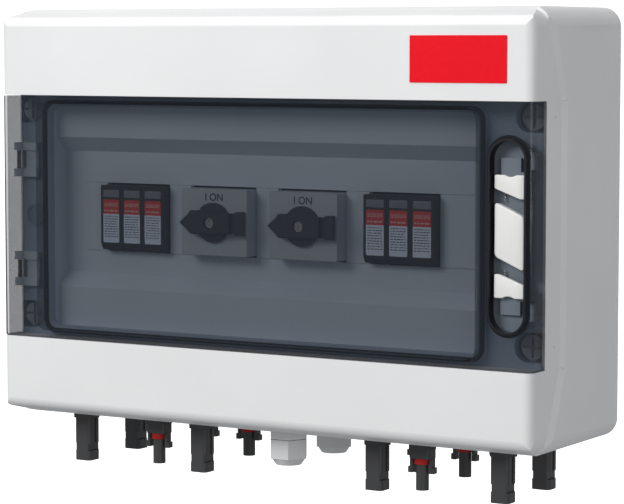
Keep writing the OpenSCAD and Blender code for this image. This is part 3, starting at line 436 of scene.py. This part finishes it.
def printed_rows(first_x, last_x, front_y, rows, finish, seed):
    """Short bars in rows that stand for unreadable print: rows are (height, thickness)."""
    dice = random.Random(seed)
    bars = []
    for row_z, thick in rows:
        x = first_x
        while x < last_x - SHORTEST_BAR:
            end = min(x + dice.uniform(0.8, 2.4) * MM, last_x)
            bar = slab("print_bar", (x, front_y - 0.03 * MM, row_z - thick / 2),
                       (end, front_y + 0.02 * MM, row_z + thick / 2))
            coat(bar, finish)
            bars.append(bar)
            x = end + dice.uniform(0.3, 0.9) * MM
    return bars


def arrester_label(name, plug):
    """Status window and printed label in the seat of an arrester plug."""
    low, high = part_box(plug)
    middle_x = (low[0] + high[0]) / 2
    row = (low[2] + high[2]) / 2
    seat_y = low[1] + 0.6 * MM
    front_y = low[1] + 0.12 * MM
    left, right = middle_x - LABEL_HALF_WIDTH, middle_x + LABEL_HALF_WIDTH
    sheet = slab("label_sheet", (left, front_y, row + LABEL_BOTTOM),
                 (right, seat_y, row + LABEL_TOP))
    pick(sheet, "FACE", lambda middle, normal: True)
    bpy.ops.mesh.bisect(plane_co=(0, 0, row + LABEL_RED_FROM), plane_no=(0, 0, 1))
    done()
    round_corners(sheet, 0.9 * MM)
    coat(sheet, label_pale, label_red)
    recolour(sheet, 1, lambda middle: middle[2] > row + LABEL_RED_FROM)
    window = slab("label_window", (left, front_y - 0.05 * MM, row + WINDOW_BOTTOM),
                  (right, seat_y, row + WINDOW_TOP))
    round_corners(window, 0.4 * MM, 2)
    soften(window, 0.12 * MM, 2)
    coat(window, window_grey)
    print_span = middle_x - PRINT_HALF_WIDTH, middle_x + PRINT_HALF_WIDTH
    bold = [(row + 10.0 * MM, 0.5 * MM), (row + 9.1 * MM, 0.5 * MM), (row + 8.2 * MM, 0.5 * MM),
            (row + 4.9 * MM, 1.1 * MM)]
    fine = [(row + (0.9 - 1.75 * i) * MM, 0.75 * MM) for i in range(9)]
    bars = printed_rows(*print_span, front_y, bold, label_white, 3)
    bars += printed_rows(*print_span, front_y, fine, label_ink, 7)
    return fuse(name, [sheet, window] + bars)


first_label = arrester_label("arrester_label_1", "spd_plug_1")
labels = [first_label]
first_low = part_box("spd_plug_1")[0]
for n in range(2, 7):
    step = Vector(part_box(f"spd_plug_{n}")[0]) - Vector(first_low)
    labels.append(twin(first_label, f"arrester_label_{n}", step))
for n, label in enumerate(labels, 1):
    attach(label, f"spd_plug_{n}")

# ------------------------------------------------------------------ switch marks


MARK_SIZE = 7 * MM
MARK_BELOW_EDGE = 5.6 * MM
MARK_PROUD = 0.02 * MM


def lettering(name, words, size, place):
    """Flat raised letters that face the front."""
    bare_select()
    bpy.ops.object.text_add(location=place, rotation=(math.radians(90), 0, 0))
    letters = bpy.context.object
    letters.data.body = words
    letters.data.size = size
    letters.data.align_x = "CENTER"
    letters.data.align_y = "CENTER"
    letters.data.extrude = 0.04 * MM
    letters.data.offset = 0.11 * MM
    bpy.ops.object.convert(target="MESH")
    return settle(name)


mark_ink = moulded("mark_ink", (0.03, 0.033, 0.04), 0.5, 400, 0.002)
plate_low, plate_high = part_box("switch_plates")
for side in ("left", "right"):
    low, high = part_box(f"handle_screw_{side}")
    mark = lettering(f"switch_mark_{side}", "I ON", MARK_SIZE,
                     ((low[0] + high[0]) / 2, plate_low[1] - MARK_PROUD,
                      plate_high[2] - MARK_BELOW_EDGE))
    coat(mark, mark_ink)
    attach(mark, "base")

# ------------------------------------------------------------------ latch buttons and grip


def plane_cut(piece, point, outward):
    """Cuts away what lies outside a plane and closes the cut."""
    pick(piece, "FACE", lambda middle, normal: True)
    bpy.ops.mesh.bisect(plane_co=point, plane_no=Vector(outward).normalized(), use_fill=True,
                        clear_outer=True)
    done()


def finger_scoop(piece, middle, radius):
    """Shallow round notch across the piece, from front to back."""
    bare_select()
    bpy.ops.mesh.primitive_cylinder_add(vertices=64, radius=radius, depth=0.03, location=middle,
                                        rotation=(math.radians(90), 0, 0))
    cutter = settle("scoop_cutter")
    hold(piece)
    notch = piece.modifiers.new("scoop", "BOOLEAN")
    notch.operation = "DIFFERENCE"
    notch.object = cutter
    bpy.ops.object.modifier_apply(modifier=notch.name)
    bpy.data.objects.remove(cutter, do_unlink=True)


# Slanted ends: a point on each cut, from the middle of the well, and the way it faces.
GRIP_CUT_X, GRIP_CUT_Z = 10.4 * MM, 21.5 * MM
GRIP_FACING = (6.8, 15.8)
BUTTON_CUT_X, BUTTON_CUT_Z = 7.4 * MM, 23.6 * MM
BUTTON_FACING = (6.4, 17.8)
SCOOP_X, SCOOP_Z, SCOOP_RADIUS = 0.5 * MM, 45.4 * MM, 8 * MM

grip_low, grip_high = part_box("latch_grip")
well_x = (grip_low[0] + grip_high[0]) / 2
well_z = (grip_low[2] + grip_high[2]) / 2

grip = slab("latch_grip_white", grip_low, grip_high)
for turn in (1, -1):
    plane_cut(grip, (well_x - turn * GRIP_CUT_X, 0, well_z + turn * GRIP_CUT_Z),
              (turn * GRIP_FACING[0], 0, turn * GRIP_FACING[1]))
round_corners(grip, 2.6 * MM, 6)
soften(grip, 1.1 * MM, 5, 50)

buttons = {}
for side, turn in (("upper", 1), ("lower", -1)):
    button = slab(f"latch_button_{side}", *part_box(f"latch_tab_{side}"))
    plane_cut(button, (well_x + turn * BUTTON_CUT_X, 0, well_z + turn * BUTTON_CUT_Z),
              (-turn * BUTTON_FACING[0], 0, -turn * BUTTON_FACING[1]))
    round_corners(button, 0.9 * MM)
    finger_scoop(button, (well_x + turn * SCOOP_X, grip_low[1], well_z + turn * SCOOP_Z),
                 SCOOP_RADIUS)
    soften(button, 0.7 * MM, 4, 50)
    buttons[side] = button

for piece, node, body in ((grip, "latch_grip", "door"),
                          (buttons["upper"], "latch_tab_upper", "latch_tab_upper"),
                          (buttons["lower"], "latch_tab_lower", "latch_tab_lower")):
    coat(piece, latch_white)
    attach(piece, body)
    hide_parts(node)

# ------------------------------------------------------------------ latch springs

WIRE_RADIUS = 0.25 * MM
WIRE_SIDES = 10
SPRING_TURNS = 5
STEPS_PER_TURN = 24


def spring_coil(name, node):
    """Round wire wound up a helix, in the space of the CAD spring."""
    low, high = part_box(node)
    coil_radius = (high[0] - low[0]) / 2 - WIRE_RADIUS
    climb = high[2] - low[2] - 2 * WIRE_RADIUS
    bare_select()
    bpy.ops.mesh.primitive_circle_add(vertices=WIRE_SIDES, radius=WIRE_RADIUS,
                                      location=(coil_radius, 0, 0),
                                      rotation=(math.radians(90), 0, 0))
    coil = settle(name)
    winding = coil.modifiers.new("winding", "SCREW")
    winding.axis = "Z"
    winding.angle = math.radians(360)
    winding.iterations = SPRING_TURNS
    winding.screw_offset = climb / SPRING_TURNS
    winding.steps = STEPS_PER_TURN
    winding.render_steps = STEPS_PER_TURN
    bpy.ops.object.modifier_apply(modifier=winding.name)
    pick(coil, "VERT", lambda point: True)
    bpy.ops.mesh.remove_doubles(threshold=0.001 * MM)
    bpy.ops.mesh.fill_holes(sides=0)
    bpy.ops.mesh.normals_make_consistent(inside=False)
    done()
    bpy.ops.object.shade_smooth_by_angle(angle=math.radians(50))
    coil.location = ((low[0] + high[0]) / 2, (low[1] + high[1]) / 2, low[2] + WIRE_RADIUS)
    bpy.ops.object.transform_apply(location=True, rotation=False, scale=False)
    return coil


for side in ("upper", "lower"):
    node = f"latch_spring_{side}"
    low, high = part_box(node)
    coil = spring_coil(f"latch_coil_{side}", node)
    coat(coil, spring_wire)
    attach(coil, "door")
    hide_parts(node)
    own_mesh(coil)

# ------------------------------------------------------------------ studio


def stage_plain(name, colour, glow):
    """Plain pale finish of the floor and the backdrop."""
    finish, nodes, links, shader = new_finish(name)
    shader.inputs["Base Color"].default_value = (*colour, 1)
    shader.inputs["Roughness"].default_value = 0.9
    shader.inputs["Emission Color"].default_value = (1, 1, 1, 1)
    shader.inputs["Emission Strength"].default_value = glow
    return finish


FLOOR_LEVEL = -0.55
FLOOR_RADIUS = 12
BACKDROP_RADIUS = 11
AIR_BRIGHTNESS = 0.34

bare_select()
bpy.ops.mesh.primitive_circle_add(vertices=64, radius=FLOOR_RADIUS, fill_type="NGON",
                                  location=(0, 0, FLOOR_LEVEL))
floor = bpy.context.object
floor.name = "studio_floor"
floor.data.materials.append(stage_plain("pale_floor", (0.9, 0.9, 0.9), 1.0))
bare_select()
bpy.ops.mesh.primitive_uv_sphere_add(segments=48, ring_count=24, radius=BACKDROP_RADIUS,
                                     location=(0, 0, 0))
backdrop = bpy.context.object
backdrop.name = "studio_backdrop"
backdrop.data.materials.append(stage_plain("white_backdrop", (1, 1, 1), 1.0))
for stage_piece in (floor, backdrop):
    stage_piece.visible_diffuse = False
    stage_piece.visible_glossy = False
    stage_piece.visible_shadow = False

world = bpy.data.worlds.new("studio_air")
scene.world = world
world.use_nodes = True
air = world.node_tree.nodes["Background"]
air.inputs["Color"].default_value = (0.96, 0.98, 1, 1)
air.inputs["Strength"].default_value = AIR_BRIGHTNESS


def softbox(name, place, aim, width, height, power):
    """Rectangular soft light that faces a point."""
    lamp = bpy.data.lights.new(name, "AREA")
    lamp.shape = "RECTANGLE"
    lamp.size = width
    lamp.size_y = height
    lamp.energy = power
    holder = bpy.data.objects.new(name, lamp)
    scene.collection.objects.link(holder)
    holder.location = place
    holder.rotation_euler = (Vector(aim) - Vector(place)).to_track_quat("-Z", "Y").to_euler()


softbox("key_light", (-0.9, -1.9, 1.1), (0, 0, 0), width=1.2, height=0.8, power=35)
softbox("top_light", (-0.1, -0.3, 1.6), (0, 0, 0), width=1.2, height=0.8, power=10)
softbox("side_light", (1.9, -1.5, 0.3), (0, 0, 0), width=1.0, height=1.0, power=9)

EYE_LENS_MM = 146.62
EYE_PLACE = (0.89925, -1.53606, 0.11906)
EYE_AIM = (0.01049, -0.065, -0.02271)

eye = bpy.data.cameras.new("studio_camera")
eye.lens = EYE_LENS_MM
eye.sensor_width = 36
camera = bpy.data.objects.new("studio_camera", eye)
scene.collection.objects.link(camera)
camera.location = EYE_PLACE
camera.rotation_euler = (Vector(EYE_AIM) - camera.location).to_track_quat("-Z", "Y").to_euler()
scene.camera = camera
